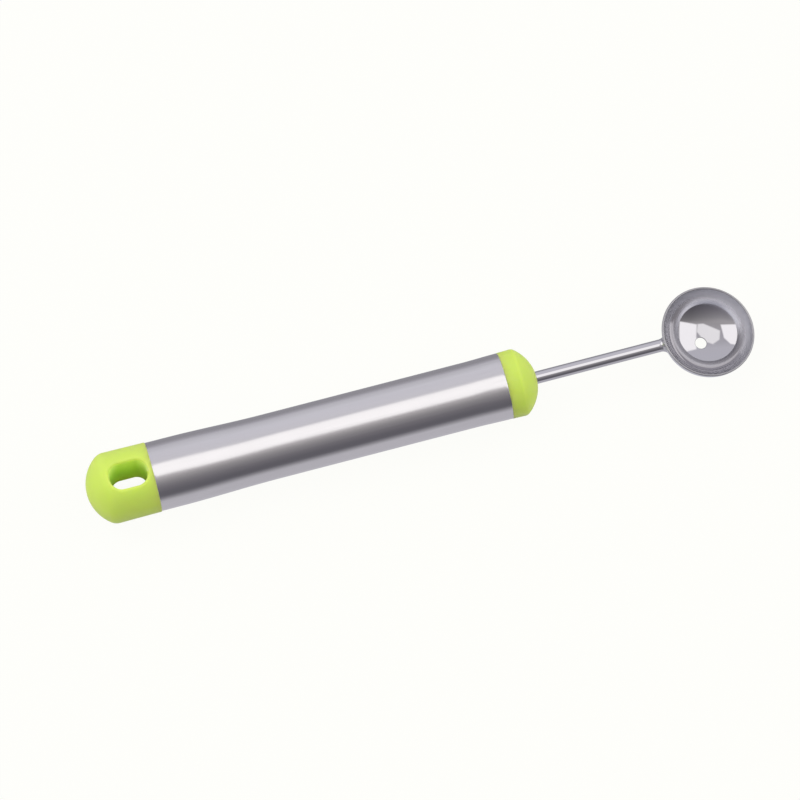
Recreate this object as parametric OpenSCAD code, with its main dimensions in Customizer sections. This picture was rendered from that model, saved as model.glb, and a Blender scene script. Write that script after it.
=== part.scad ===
// Melon baller: a round stainless bowl on a rod, with a swaged tube handle between two plastic caps.
// The handle lies along X with the scoop at its +X end, and the bowl and the hanging slot open along Z.
// The origin is at the bottom centre of the tool as it lies on a table. All lengths are in millimetres.

/* [Scoop bowl] */
// Outer diameter of the bowl's rim
rim_d = 30; // [24:0.5:34]
// Outer depth of the bowl, from the rim's plane to its bottom
bowl_depth = 11.4; // [9:0.1:14]
// Height above the rim's plane at which the bowl's curved wall would stand upright
bowl_lift = 1.2; // [0.5:0.1:4]
// Thickness of the bowl's sheet
bowl_wall = 0.7; // [0.5:0.05:1.2]
// Forward tilt of the bowl's opening, in degrees
bowl_pitch = 10; // [0:0.5:20]
// Height of the rim's centre above the rod's axis
bowl_rise = 1.6; // [0:0.1:3]
// Diameter of the vent in the bowl's bottom
vent_d = 3.9; // [2:0.1:5]
// Edge break on both sides of the vent
vent_edge = 0.15; // [0.05:0.05:0.2]

/* [Shank] */
// Diameter of the round rod
shank_d = 4; // [3:0.1:5]
// Bare length of the rod, from the front cap's nose to the bowl's wall
shank_bare = 42; // [30:0.5:60]
// Plastic left behind the rod's tail, at the tip of the front cap's spigot
tail_cover = 2.2; // [1:0.1:6]
// Length of the flattened tang at the rod's hidden end
tang_length = 8; // [5:0.5:10]
// Spread of the flattened tang beyond the rod, on each side
tang_spread = 0.65; // [0.3:0.05:1]
// Thickness of the flattened tang
tang_t = 2.4; // [1.8:0.1:2.8]
// Length along the rod in which it goes from round to flat
tang_run = 3; // [2:0.5:5]
// Reach of the weld bead along the rod and along the bowl
weld_leg = 1.5; // [0.8:0.1:2]

/* [Front cap] */
// Step out from the tube to the front cap, on the radius
front_step = 0.05; // [0:0.05:0.4]
// Swell of the front cap from the seam to its widest, on the radius
front_swell = 0.1; // [0:0.05:0.6]
// Length of the front cap in front of the tube
front_length = 10.6; // [8:0.1:14]
// Radius between the front cap's side and its domed nose
front_corner_r = 2; // [1:0.1:4]
// Thickness of the wall round the rod's socket
boss_wall = 1.6; // [1:0.1:2.5]
// Thickness of the webs that carry the rod's socket
web_t = 1.2; // [0.8:0.1:2]

/* [Handle tube] */
// Length of the tube
tube_length = 114.8; // [90:0.1:140]
// Diameter of the tube along its middle
tube_waist_d = 20.9; // [18:0.1:26]
// Swage of the tube's rear end beyond the waist, on the radius
rear_swage = 0.6; // [0:0.1:1]
// Swage of the tube's front end beyond the waist, on the radius
front_swage = 0.2; // [0:0.05:0.6]
// Wall of the tube
tube_wall = 0.5; // [0.4:0.05:0.8]
// Straight stretch at the tube's rear end
rear_land = 6.5; // [4:0.5:12]
// Length of the rear swage, from the straight stretch to the waist
rear_flare = 32; // [20:1:40]
// Length of the front swage
front_flare = 12; // [9.5:0.5:20]

/* [End cap] */
// Step out from the tube to the end cap, on the radius
end_step = 0.2; // [0:0.05:0.4]
// Swell of the end cap from the seam to its widest, on the radius
end_swell = 0.15; // [0:0.05:0.8]
// Length of the end cap behind the tube
end_length = 21.5; // [20:0.1:30]
// Radius between the end cap's side and its domed end
end_corner_r = 4.5; // [2:0.1:6]
// Flatness of both caps' domed ends: how much their sphere is larger than the end cap, on the radius
dome_flat = 1.8; // [0.5:0.1:8]

/* [Hanging slot] */
// Length of the slot along the handle
slot_length = 11.6; // [9.5:0.1:13]
// Width of the slot
slot_w = 8.4; // [5:0.1:9]
// Radius of the rounded edge at both mouths of the slot
slot_mouth_r = 1.1; // [0.6:0.1:1.2]
// Plastic between the tube's end and the slot
slot_margin = 2.1; // [1.8:0.1:4]
// Wall of the sleeve round the slot, inside the hollow cap
sleeve_wall = 1.5; // [1:0.1:2]

/* [Fits] */
// Depth of both caps' spigots in the tube
spigot_length = 12; // [10:0.5:16]
// Wall of the spigots
spigot_wall = 1.6; // [1.2:0.1:2]
// Radial clearance between a spigot and the tube
spigot_clearance = 0.25; // [0.15:0.05:0.4]
// Lead-in chamfer on the tip of the spigots
spigot_lead = 0.6; // [0.2:0.1:1]
// Length of the crush ribs on the spigots
rib_length = 9; // [5:0.5:10]
// Width of a crush rib at its foot
rib_w = 1.2; // [0.8:0.1:2]
// Radial clearance left over the crush ribs
rib_clearance = 0.02; // [0.01:0.01:0.1]
// Gap between the rod and the plastic that is moulded round it
mould_gap = 0.02; // [0.01:0.01:0.1]
// Plastic left between the hollow of a cap and its domed end
nose_wall = 2.2; // [1.5:0.1:3]
// Radius on the caps' edges where they meet the tube
seam_edge_r = 0.35; // [0.2:0.05:0.6]

/* [Hidden] */

// Facets round the axis of a turned part, and steps along the arcs of its outline
round_fn = 96;
body_fn = 4 * round_fn;
arc_steps = 24;
bowl_steps = 36;
flare_steps = 16;
edge_steps = 6;
rib_count = 8;
web_count = 4;

// Overrun of the cuts that go right through
overrun = 1;
// Width of a crush rib's crest, as a share of its foot
rib_crest_share = 0.4;
// Height above the rod at which its pressed flats begin, as a share of its radius
shoulder_share = 0.05;
// Angle at which the slot's rounded edge stops, just short of level so that it cuts the cap's surface cleanly
mouth_stop = 78;
mouth_steps = 4;
// Steps round the weld bead and across it
weld_columns = 32;
weld_steps = 6;
// Depth of the bead's toes under the steel, and swell of the bead out of its corner, as shares of its reach
toe_share = 0.06;
swell_share = 0.15;

// Bowl: an ellipse turned about the bowl's own axis, with its half width and half height. The rim is where the
// ellipse reaches the rim's plane, and the ellipse's centre is above that plane.
rim_r = rim_d / 2;
bowl_high = bowl_depth + bowl_lift;
rim_angle = -asin(bowl_lift / bowl_high);
bowl_wide = rim_r / cos(rim_angle);
bowl_z = bowl_rise + bowl_lift * cos(bowl_pitch);

// Point of the bowl's outline, set in from the outer face, and the direction in which the face looks there
function bowl_facing(t) = let (n = [cos(t) / bowl_wide, sin(t) / bowl_high]) n / norm(n);
function bowl_point(t, inset) = [bowl_wide * cos(t), bowl_high * sin(t)] - inset * bowl_facing(t);
function bowl_curve(from, to, inset) =
    [for (i = [0:bowl_steps]) bowl_point(from + (to - from) * i / bowl_steps, inset)];

// Place of the bowl's outer face behind the bowl's centre, at a distance across and above the rod's axis
function face_back(y, z) =
    let (c = cos(bowl_pitch), s = sin(bowl_pitch), up = z - bowl_z)
    let (w = pow(bowl_wide, 2), h = pow(bowl_high, 2))
    let (square = c * c / w + s * s / h, half = up * s * c * (1 / h - 1 / w))
    let (rest = up * up * (s * s / w + c * c / h) + y * y / w - 1)
    (-half - sqrt(half * half - square * rest)) / square;

// Stations along the handle, from the end cap's apex
seam_rear_x = end_length;
seam_front_x = seam_rear_x + tube_length;
nose_x = seam_front_x + front_length;
joint_x = nose_x + shank_bare;
bowl_x = joint_x - face_back(0, 0);
rim_middle = bowl_point(rim_angle, bowl_wall / 2);
tip_x = bowl_x + rim_middle * [cos(bowl_pitch), sin(bowl_pitch)] + bowl_wall / 2;

// Radii of the tube's ends and of the caps at the seams and at their widest
rear_r = tube_waist_d / 2 + rear_swage;
front_end_r = tube_waist_d / 2 + front_swage;
end_seam_r = rear_r + end_step;
front_seam_r = front_end_r + front_step;
end_r = end_seam_r + end_swell;
front_r = front_seam_r + front_swell;
dome_r = end_r + dome_flat;

// Rod, its tang and its socket
shank_r = shank_d / 2;
shank_embed = front_length + spigot_length - tail_cover;
tang_r = shank_r + tang_spread;
boss_r = tang_r + boss_wall;

// Middle of the hanging slot
slot_x = end_length - slot_margin - slot_length / 2;

// Spread of the slot's mouth beyond the slot
mouth_reach = slot_mouth_r * (1 - cos(mouth_stop));

// Points of an arc about a centre, from one angle to another
function arc(centre, r, from, to, steps) =
    [for (i = [0:steps]) let (a = from + (to - from) * i / steps) centre + r * [cos(a), sin(a)]];

// Swage of the tube: share of the way from its end to its waist, as a half wave
function swage(depth, land, flare) =
    depth <= land ? 0 : depth >= land + flare ? 1 : (1 - cos(180 * (depth - land) / flare)) / 2;

// Outer radius of the tube at a depth from its rear end and from its front end
function rear_tube_r(depth) = rear_r - rear_swage * swage(depth, rear_land, rear_flare);
function front_tube_r(depth) = front_end_r - front_swage * swage(depth, 0, front_flare);

// Spigot radius and crest radius of the ribs, from the tube's bore where each ends
rear_spigot_r = rear_tube_r(spigot_length) - tube_wall - spigot_clearance;
front_spigot_r = front_tube_r(spigot_length) - tube_wall - spigot_clearance;
rear_crest_r = rear_tube_r(rib_length) - tube_wall - rib_clearance;
front_crest_r = front_tube_r(rib_length) - tube_wall - rib_clearance;

// A cap's outline has a dome, a corner arc tangent to it and to the side, and a slight taper to the seam.
// Depth of the corner arc's centre behind the apex of the dome
function corner_depth(band_r, corner_r) =
    dome_r - sqrt(pow(dome_r - corner_r, 2) - pow(band_r - corner_r, 2));
// Angle at which the dome passes into the corner arc
function blend_angle(band_r, corner_r) =
    -atan2(dome_r - corner_depth(band_r, corner_r), band_r - corner_r);
// Outer radius of a cap at a depth behind its apex
function cap_r(depth, band_r, seam_r, corner_r, length) =
    let (corner_h = corner_depth(band_r, corner_r))
    let (blend_h = dome_r + dome_r * sin(blend_angle(band_r, corner_r)))
    depth < blend_h ? sqrt(pow(dome_r, 2) - pow(dome_r - depth, 2)) :
    depth < corner_h ? band_r - corner_r + sqrt(pow(corner_r, 2) - pow(corner_h - depth, 2)) :
    band_r + (seam_r - band_r) * (depth - corner_h) / (length - corner_h);

// The slot's mouth takes away the end cap's lowest line, so the cap rests on what is left at the mouth's ends
function rest_r(reach) = cap_r(slot_x + reach, end_r, end_seam_r, end_corner_r, end_length);
end_rest_r = max(rest_r(slot_length / 2 + mouth_reach), rest_r(-slot_length / 2 - mouth_reach));

// Place of the handle's axis above the table, and of the end cap's apex behind the origin
bowl_drop = norm([bowl_wide * sin(bowl_pitch), bowl_high * cos(bowl_pitch)]) - bowl_z;
axis_z = max(end_rest_r, front_r, bowl_drop);
apex_x = -tip_x / 2;

// Turns an outline of radius and height about the handle's axis
module turned() {
    rotate([0, 90, 0])
        rotate_extrude($fn = round_fn)
            children();
}

// Closed solid through rings of points, each ring facing along the row of rings
module loft(rings) {
    count = len(rings[0]);
    last = (len(rings) - 1) * count;
    side = [
        for (k = [0:len(rings) - 2], i = [0:count - 1])
            let (a = k * count + i, b = k * count + (i + 1) % count)
            each [[a, a + count, b + count], [a, b + count, b]]
    ];
    first_end = [for (i = [0:count - 1]) i];
    last_end = [for (i = [count - 1:-1:0]) last + i];
    polyhedron(points = [for (ring = rings) each ring], faces = concat(side, [first_end, last_end]));
}

// Outside of a cap with its spigot, as an outline of radius and depth behind the apex
module cap_outline(band_r, seam_r, corner_r, length, spigot_r) {
    blend = blend_angle(band_r, corner_r);
    tip = length + spigot_length;
    polygon(concat(
        arc([0, dome_r], dome_r, -90, blend, arc_steps),
        arc([band_r - corner_r, corner_depth(band_r, corner_r)], corner_r, blend, 0, arc_steps),
        arc([seam_r - seam_edge_r, length - seam_edge_r], seam_edge_r, 0, 90, edge_steps),
        [
            [spigot_r, length],
            [spigot_r, tip - spigot_lead],
            [spigot_r - spigot_lead, tip],
            [0, tip]
        ]
    ));
}

// Hollow of a cap, open at the tip of its spigot
module core_outline(core_r, length) {
    inner_r = dome_r - nose_wall;
    polygon(concat(
        arc([0, dome_r], inner_r, -90, -acos(core_r / inner_r), arc_steps),
        [
            [core_r, length + spigot_length + overrun],
            [0, length + spigot_length + overrun]
        ]
    ));
}

// Crush ribs round a spigot, from the seam inwards
module crush_ribs(spigot_r, crest_r, length) {
    foot = spigot_r - spigot_wall / 2;
    for (i = [0:rib_count - 1])
        rotate([i * 360 / rib_count, 0, 0])
            translate([length, 0, 0])
                rotate([90, 0, 90])
                    linear_extrude(rib_length)
                        polygon([
                            [-rib_w / 2, foot],
                            [rib_w / 2, foot],
                            [rib_w * rib_crest_share / 2, crest_r],
                            [-rib_w * rib_crest_share / 2, crest_r]
                        ]);
}

// Ring of the slot's cutter: the slot's outline grown sideways, laid on the cap's surface and sunk below it
function slot_columns(grow) =
    let (r = slot_w / 2, half = (slot_length - slot_w) / 2, steps = arc_steps)
    [
        for (end = [1, -1], i = [0:steps])
            let (a = (end > 0 ? -90 : 90) + 180 * i / steps)
            [slot_x + end * half + (r + grow) * cos(a), (r + grow) * sin(a)]
    ];
function slot_ring(grow, sink, side) =
    [
        for (p = slot_columns(grow))
            let (r = cap_r(p.x, end_r, end_seam_r, end_corner_r, end_length))
            [p.x, p.y, side * (sqrt(r * r - p.y * p.y) - sink)]
    ];
function slot_lid(grow, side) = [for (p = slot_columns(grow)) [p.x, p.y, side * (end_r + overrun)]];

// Cutter for the slot and its two mouths, whose edges are quarter rounds that follow the cap's surface
module slot_cutter() {
    function edge_ring(a, side) =
        slot_ring(slot_mouth_r * (1 - cos(a)), slot_mouth_r * (1 - sin(a)), side);
    bottom = [for (i = [mouth_steps:-1:0]) edge_ring(mouth_stop * i / mouth_steps, -1)];
    top = [for (i = [0:mouth_steps]) edge_ring(mouth_stop * i / mouth_steps, 1)];
    loft(concat([slot_lid(mouth_reach, -1)], bottom, top, [slot_lid(mouth_reach, 1)]));
}

// Sleeve that is left standing round the slot
module sleeve() {
    linear_extrude(2 * end_r, center = true) {
        r = slot_w / 2 + sleeve_wall;
        half = (slot_length - slot_w) / 2;
        translate([slot_x - half, -r])
            square([2 * half, 2 * r]);
        for (end = [1, -1])
            translate([slot_x + end * half, 0])
                circle(r, $fn = round_fn);
    }
}

// Rod with its pressed tang, grown on all sides by a gap
module rod(gap) {
    tail_x = nose_x - shank_embed - gap;
    flat_x = nose_x - shank_embed + tang_length;
    shoulder = shank_r * (1 + shoulder_share) + gap;
    intersection() {
        turned()
            polygon([
                [0, tail_x],
                [tang_r + gap, tail_x],
                [tang_r + gap, flat_x],
                [shank_r + gap, flat_x + tang_run],
                [shank_r + gap, bowl_x],
                [0, bowl_x]
            ]);
        rotate([90, 0, 0])
            linear_extrude(4 * tang_r, center = true)
                polygon([
                    [tail_x - overrun, -tang_t / 2 - gap],
                    [flat_x, -tang_t / 2 - gap],
                    [flat_x + tang_run, -shoulder],
                    [flat_x + tang_run, -shank_d],
                    [bowl_x + overrun, -shank_d],
                    [bowl_x + overrun, shank_d],
                    [flat_x + tang_run, shank_d],
                    [flat_x + tang_run, shoulder],
                    [flat_x, tang_t / 2 + gap],
                    [tail_x - overrun, tang_t / 2 + gap]
                ]);
    }
}

// Lays the bowl's own axis in its place in the handle's plane
module in_bowl() {
    translate([bowl_x, 0, bowl_z])
        rotate([0, bowl_pitch, 0])
            children();
}

// Solid body inside the bowl's outer face
module bowl_body() {
    in_bowl()
        rotate_extrude($fn = body_fn)
            polygon(concat(bowl_curve(-90, rim_angle, 0), bowl_curve(rim_angle, 90, 0)));
}

// Cutter for the vent, with its broken edges, as an outline about the bowl's own axis
module vent_outline() {
    hole_r = vent_d / 2;
    wide = hole_r + vent_edge + overrun;
    outer_h = -bowl_high * sqrt(1 - pow(hole_r / bowl_wide, 2));
    inner_h = -(bowl_high - bowl_wall) * sqrt(1 - pow(hole_r / (bowl_wide - bowl_wall), 2));
    polygon([
        [0, outer_h - overrun],
        [wide, outer_h - overrun],
        [hole_r, outer_h + vent_edge],
        [hole_r, inner_h - vent_edge],
        [wide, inner_h + overrun],
        [0, inner_h + overrun]
    ]);
}

module scoop_bowl() {
    rim_facing = bowl_facing(rim_angle);
    rim_turn = atan2(rim_facing.y, rim_facing.x);
    color("silver")
        in_bowl()
            difference() {
                rotate_extrude($fn = round_fn)
                    polygon(concat(
                        bowl_curve(-90, rim_angle, 0),
                        arc(rim_middle, bowl_wall / 2, rim_turn, rim_turn + 180, 2 * edge_steps),
                        bowl_curve(rim_angle, -90, bowl_wall)
                    ));
                rotate_extrude($fn = round_fn)
                    vent_outline();
            }
}

// Weld bead: a hollow fillet from the rod to the bowl. It starts and ends just under the steel.
function face_x(y, z) = bowl_x + face_back(y, z);
function weld_point(angle, t) =
    let (out = [cos(angle), sin(angle)])
    let (foot = shank_r * out, far = (shank_r + weld_leg) * out)
    let (low = (shank_r - toe_share * weld_leg) * out, swell = (shank_r + swell_share * weld_leg) * out)
    let (start = [face_x(foot.x, foot.y) - weld_leg, low.x, low.y])
    let (bend = [face_x(foot.x, foot.y), swell.x, swell.y])
    let (end = [face_x(far.x, far.y) + toe_share * weld_leg, far.x, far.y])
    pow(1 - t, 2) * start + 2 * t * (1 - t) * bend + t * t * end;
function weld_rings() =
    let (angles = [for (i = [0:weld_columns - 1]) 360 * i / weld_columns])
    concat(
        [[for (a = angles) [joint_x - 2 * weld_leg, shank_r / 2 * cos(a), shank_r / 2 * sin(a)]]],
        [for (k = [0:weld_steps]) [for (a = angles) weld_point(a, k / weld_steps)]],
        [[for (a = angles) [joint_x + 2 * weld_leg, shank_r * cos(a), shank_r * sin(a)]]]
    );

module bowl_weld() {
    color("gainsboro")
        difference() {
            loft(weld_rings());
            rod(0);
            bowl_body();
        }
}

module shank() {
    color("silver")
        difference() {
            rod(0);
            bowl_body();
        }
}

module front_cap() {
    core_r = front_spigot_r - spigot_wall;
    color("yellowgreen")
        difference() {
            union() {
                translate([nose_x, 0, 0])
                    mirror([1, 0, 0])
                        turned()
                            cap_outline(front_r, front_seam_r, front_corner_r, front_length, front_spigot_r);
                translate([nose_x, 0, 0])
                    mirror([1, 0, 0])
                        crush_ribs(front_spigot_r, front_crest_r, front_length);
            }
            translate([nose_x, 0, 0])
                mirror([1, 0, 0])
                    difference() {
                        turned()
                            core_outline(core_r, front_length);
                        rotate([0, 90, 0])
                            cylinder(h = front_length + spigot_length, r = boss_r, $fn = round_fn);
                        for (i = [0:web_count / 2 - 1])
                            rotate([i * 360 / web_count, 0, 0])
                                translate([0, -front_r, -web_t / 2])
                                    cube([front_length + spigot_length - spigot_lead, 2 * front_r, web_t]);
                    }
            rod(mould_gap);
        }
}

module handle_tube() {
    rear = [for (i = [0:flare_steps]) rear_land + rear_flare * i / flare_steps];
    front = [for (i = [0:flare_steps]) tube_length - front_flare * (1 - i / flare_steps)];
    outer = concat(
        [[rear_tube_r(0), 0]],
        [for (h = rear) [rear_tube_r(h), h]],
        [for (h = front) [front_tube_r(tube_length - h), h]]
    );
    inner = [for (i = [len(outer) - 1:-1:0]) outer[i] - [tube_wall, 0]];
    color("lightgray")
        translate([seam_rear_x, 0, 0])
            turned()
                polygon(concat(outer, inner));
}

module end_cap() {
    core_r = rear_spigot_r - spigot_wall;
    color("yellowgreen")
        difference() {
            union() {
                turned()
                    cap_outline(end_r, end_seam_r, end_corner_r, end_length, rear_spigot_r);
                crush_ribs(rear_spigot_r, rear_crest_r, end_length);
            }
            difference() {
                turned()
                    core_outline(core_r, end_length);
                sleeve();
            }
            slot_cutter();
        }
}

// Lays the tool on the table with the origin at its bottom centre
module on_table() {
    translate([apex_x, 0, axis_z])
        children();
}

on_table() scoop_bowl();
on_table() bowl_weld();
on_table() shank();
on_table() front_cap();
on_table() handle_tube();
on_table() end_cap();
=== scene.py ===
"""Melon baller: finished surfaces, materials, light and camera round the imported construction.

Every shape is worked out on a numpy grid from real sizes in metres. The handle lies along X with the scoop
at +X, and the bowl and the hanging slot open along Z.
"""

import math

import bmesh
import bpy
import numpy as np
from bpy.props import FloatProperty, FloatVectorProperty, PointerProperty
from mathutils import Matrix, Vector


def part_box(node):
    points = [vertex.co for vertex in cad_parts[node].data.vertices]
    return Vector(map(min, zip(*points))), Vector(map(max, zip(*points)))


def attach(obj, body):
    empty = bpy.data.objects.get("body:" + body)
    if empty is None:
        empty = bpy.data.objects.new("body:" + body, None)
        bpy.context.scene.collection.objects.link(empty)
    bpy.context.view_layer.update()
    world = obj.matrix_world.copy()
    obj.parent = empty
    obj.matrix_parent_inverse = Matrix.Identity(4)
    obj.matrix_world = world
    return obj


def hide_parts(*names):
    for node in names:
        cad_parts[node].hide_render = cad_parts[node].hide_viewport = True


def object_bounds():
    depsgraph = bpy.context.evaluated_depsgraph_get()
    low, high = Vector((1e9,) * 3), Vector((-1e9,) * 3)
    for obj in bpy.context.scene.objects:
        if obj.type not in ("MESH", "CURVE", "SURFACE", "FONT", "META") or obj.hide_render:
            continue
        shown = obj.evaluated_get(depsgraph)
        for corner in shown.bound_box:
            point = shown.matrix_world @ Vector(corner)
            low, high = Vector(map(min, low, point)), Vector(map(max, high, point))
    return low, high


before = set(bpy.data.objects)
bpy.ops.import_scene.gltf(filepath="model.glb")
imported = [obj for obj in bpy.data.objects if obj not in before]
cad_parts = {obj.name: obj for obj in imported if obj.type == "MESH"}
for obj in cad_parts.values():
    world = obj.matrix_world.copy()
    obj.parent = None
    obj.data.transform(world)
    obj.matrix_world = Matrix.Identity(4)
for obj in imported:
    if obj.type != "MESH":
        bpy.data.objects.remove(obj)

bl_info = {
    "name": "Melon baller",
    "version": (1, 0, 0),
    "blender": (4, 5, 0),
    "location": "View3D > Sidebar > Melon baller",
    "description": "Finished surfaces, materials and stage of a melon baller",
    "category": "Object",
}

MM = 0.001
CAD_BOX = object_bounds()
TUBE_LOW, TUBE_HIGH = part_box("handle_tube")
END_LOW, END_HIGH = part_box("end_cap")
_, FRONT_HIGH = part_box("front_cap")
_, BOWL_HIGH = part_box("scoop_bowl")
AXIS_Z = (TUBE_LOW.z + TUBE_HIGH.z) / 2

# Points round each turned piece
TUBE_TURN = 256
CAP_TURN = 240
BOWL_TURN = 288
ROD_TURN = 96
WELD_TURN = 128

# Points along each stretch of an outline
TUBE_STEPS = 180
TUBE_EDGE_STEPS = 6
DOME_STEPS = 40
CORNER_STEPS = 20
SIDE_STEPS = 30
SEAM_STEPS = 7
SOCKET_STEPS = 8
BOWL_STEPS = 120
RIM_STEPS = 17
VENT_STEPS = 7
ROD_STEPS = 60
WELD_STEPS = 15

# The slot's patch: columns on each side of its middle, its rows on the dome and points along its skin
PATCH_REACH = 24
PATCH_DOME_ROWS = 6
MOUTH_STEPS = 13
WALL_STEPS = 25
OVER_STEPS = 15

# Shares of the rim's radius between which the bowl's walls go from polished to satin
SATIN_FROM, SATIN_TO = 0.74, 0.92

# The weld's reach along the rod and the bowl: shares less at the top and at +Y, and the waves' height, count
# and phase. Its hollow is filled by a share of the reach
ROD_REACH = (0.12, 0.15, 0.05, 5, 0.0)
BOWL_REACH = (0.18, 0.3, 0.04, 7, 1.3)
WELD_SWELL = 0.1

# Waves of the weld's ripple: count round the rod, lean along the bead, height and phase
RIPPLES = ((9, 4.0, 1.0, 0.0), (17, 0.0, 0.6, 2.1))

# Distance at which points merge, and angle of a sharp edge
MERGE = 1e-3 * MM
SHARP = math.radians(50)


def length(name, value, description, high=1.0):
    """A size in metres as a Blender property."""
    return FloatProperty(
        name=name, description=description, default=value,
        min=0.0, max=high, subtype="DISTANCE", unit="LENGTH",
    )


def angle(name, degrees, description):
    """An angle, given in degrees, as a Blender property."""
    value = math.radians(degrees)
    return FloatProperty(name=name, description=description, default=value, subtype="ANGLE", unit="ROTATION")


def number(name, value, description, high=1.0):
    """A plain number, such as a roughness, as a Blender property."""
    return FloatProperty(name=name, description=description, default=value, min=0.0, max=high)


def tint(name, value, description):
    """A linear colour as a Blender property."""
    return FloatVectorProperty(
        name=name, description=description, default=value, size=3, min=0, max=1, subtype="COLOR"
    )


class MelonBallerSizes(bpy.types.PropertyGroup):
    """Real sizes of the pieces. Places and outer diameters come from the frame."""

    rim_radius: length("Rim radius", 15 * MM, "Outer radius of the bowl's rim")
    bowl_depth: length("Bowl depth", 11.4 * MM, "Outer depth of the bowl")
    bowl_lift: length("Bowl lift", 1.2 * MM, "Height of the bowl's elliptical centre above its rim")
    sheet: length("Sheet", 0.7 * MM, "Thickness of the bowl's sheet")
    pitch: angle("Pitch", 10, "Forward tilt of the bowl")
    rise: length("Rise", 1.6 * MM, "Height of the rim's centre above the rod's axis")
    vent_radius: length("Vent radius", 1.95 * MM, "Radius of the vent in the bowl")
    vent_round: length("Vent edge", 0.16 * MM, "Rounding of the vent's edges")
    rod_radius: length("Rod radius", 2 * MM, "Radius of the rod")
    rod_embed: length("Rod embed", 20.4 * MM, "Length of the rod inside the front cap")
    rod_sink: length("Rod sink", 0.1 * MM, "Depth of the rod's end in the bowl's wall")
    weld_reach: length("Weld reach", 1.6 * MM, "Reach of the weld bead along the rod and the bowl")
    weld_ripple: length("Weld ripple", 0.03 * MM, "Unevenness of the weld bead")
    weld_sink: length("Weld sink", 0.15 * MM, "Depth of the bead's hidden side in the steel")
    tube_wall: length("Tube wall", 0.5 * MM, "Wall of the tube")
    tube_round: length("Tube edge", 0.08 * MM, "Rounding of the tube's ends")
    waist_radius: length("Waist radius", 10.45 * MM, "Radius of the tube's middle")
    front_radius: length("Front radius", 10.65 * MM, "Radius of the tube's front end")
    rear_land: length("Rear land", 6.5 * MM, "Straight stretch at the tube's rear end")
    rear_flare: length("Rear flare", 32 * MM, "Length of the rear swage")
    front_flare: length("Front flare", 12 * MM, "Length of the front swage")
    front_cap_radius: length("Front cap radius", 10.8 * MM, "Largest radius of the front cap")
    front_seam_radius: length("Front seam radius", 10.7 * MM, "Radius of the front cap at the tube")
    front_corner: length("Front corner", 2 * MM, "Radius between the front cap's side and its nose")
    end_seam_radius: length("End seam radius", 11.25 * MM, "Radius of the end cap at the tube")
    end_corner: length("End corner", 4.5 * MM, "Radius between the end cap's side and its domed end")
    dome_radius: length("Dome radius", 13.2 * MM, "Sphere radius of both caps' domed ends")
    seam_round: length("Seam edge", 0.14 * MM, "Rounding of the caps' edges at the tube")
    spigot: length("Spigot", 12 * MM, "Depth of the caps' spigots in the tube")
    spigot_lead: length("Spigot lead", 0.6 * MM, "Chamfer on the tips of the spigots")
    spigot_clearance: length("Spigot clearance", 0.25 * MM, "Clearance round the spigots")
    lip_round: length("Socket lip", 0.2 * MM, "Rounding of the front cap's edge at the rod")
    rod_gap: length("Rod gap", 0.02 * MM, "Gap between the rod and the plastic round it")
    slot_length: length("Slot length", 12.2 * MM, "Length of the hanging slot")
    slot_width: length("Slot width", 8.4 * MM, "Width of the hanging slot")
    slot_corner: length("Slot corner", 3.8 * MM, "Corner radius of the hanging slot")
    slot_margin: length("Slot margin", 1.6 * MM, "Plastic between the tube's end and the slot")
    mouth_round: length("Slot mouth", 1.1 * MM, "Rounding of the slot's mouths")


class MelonBallerLooks(bpy.types.PropertyGroup):
    """Colours and finishes."""

    tube_steel: tint("Tube steel", (0.74, 0.725, 0.73), "Colour of the brushed tube")
    bowl_steel: tint("Bowl steel", (0.58, 0.57, 0.59), "Colour of the polished bowl")
    satin_steel: tint("Satin steel", (0.75, 0.755, 0.80), "Colour of the bowl's satin upper wall")
    rod_steel: tint("Rod steel", (0.67, 0.66, 0.68), "Colour of the polished rod and the weld")
    plastic: tint("Plastic", (0.535, 0.68, 0.115), "Colour of the caps")
    # Painted light: the slot's inside is painted lighter and greener for the light that glows through the
    # plastic walls
    slot_painted_glow: tint("Slot painted glow", (0.75, 0.95, 0.22), "Colour in the slot, where light comes through")
    tube_roughness: number("Tube roughness", 0.17, "Roughness of the brushed tube")
    rod_roughness: number("Rod roughness", 0.04, "Roughness of the rod")
    weld_roughness: number("Weld roughness", 0.2, "Roughness of the weld bead")
    bowl_roughness: number("Bowl roughness", 0.05, "Roughness of the polished bowl")
    plastic_roughness: number("Plastic roughness", 0.42, "Roughness of the caps")


class MelonBallerStage(bpy.types.PropertyGroup):
    """Camera, floor and light."""

    handle_slope: angle("Handle slope", 14.52, "Angle of the handle in the picture")
    roll: angle("Roll", 16.2, "Turn of the camera about the handle, from straight above")
    lean: angle("Lean", 4.6, "Lean of the view towards the handle's rear end")
    aim_along: length("Aim along", 103.06 * MM, "Picture centre along the handle, from its rear end")
    aim_up: length("Aim up", 3.98 * MM, "Picture centre above the handle's axis in the picture")
    distance: length("Camera distance", 2.08, "Distance of the camera", high=10.0)
    pixel: length("Pixel", 0.3156 * MM, "Size of a picture pixel at the object")
    floor_size: length("Floor", 6.0, "Half side of the floor", high=20.0)
    floor_shade: number("Floor shade", 0.7, "Reflectance of the floor")
    floor_lift: number("Floor lift", 0.96, "How far the floor is lifted to white for the camera")
    key_power: number("Key power", 12.0, "Power of the soft key lamp in watts", high=1000.0)
    fill_power: number("Fill power", 7.0, "Power of each soft lamp beside the ends in watts", high=1000.0)


def ring_points(outline, columns):
    """Turns an outline about X: point (depth, radius) and turn t give (depth, radius sin t, radius cos t)."""
    turn = np.arange(columns) * (2 * np.pi / columns)
    depth = np.broadcast_to(outline[:, 0, None], (len(outline), columns))
    radius = outline[:, 1, None]
    return np.stack([depth, radius * np.sin(turn), radius * np.cos(turn)], axis=-1)


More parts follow.
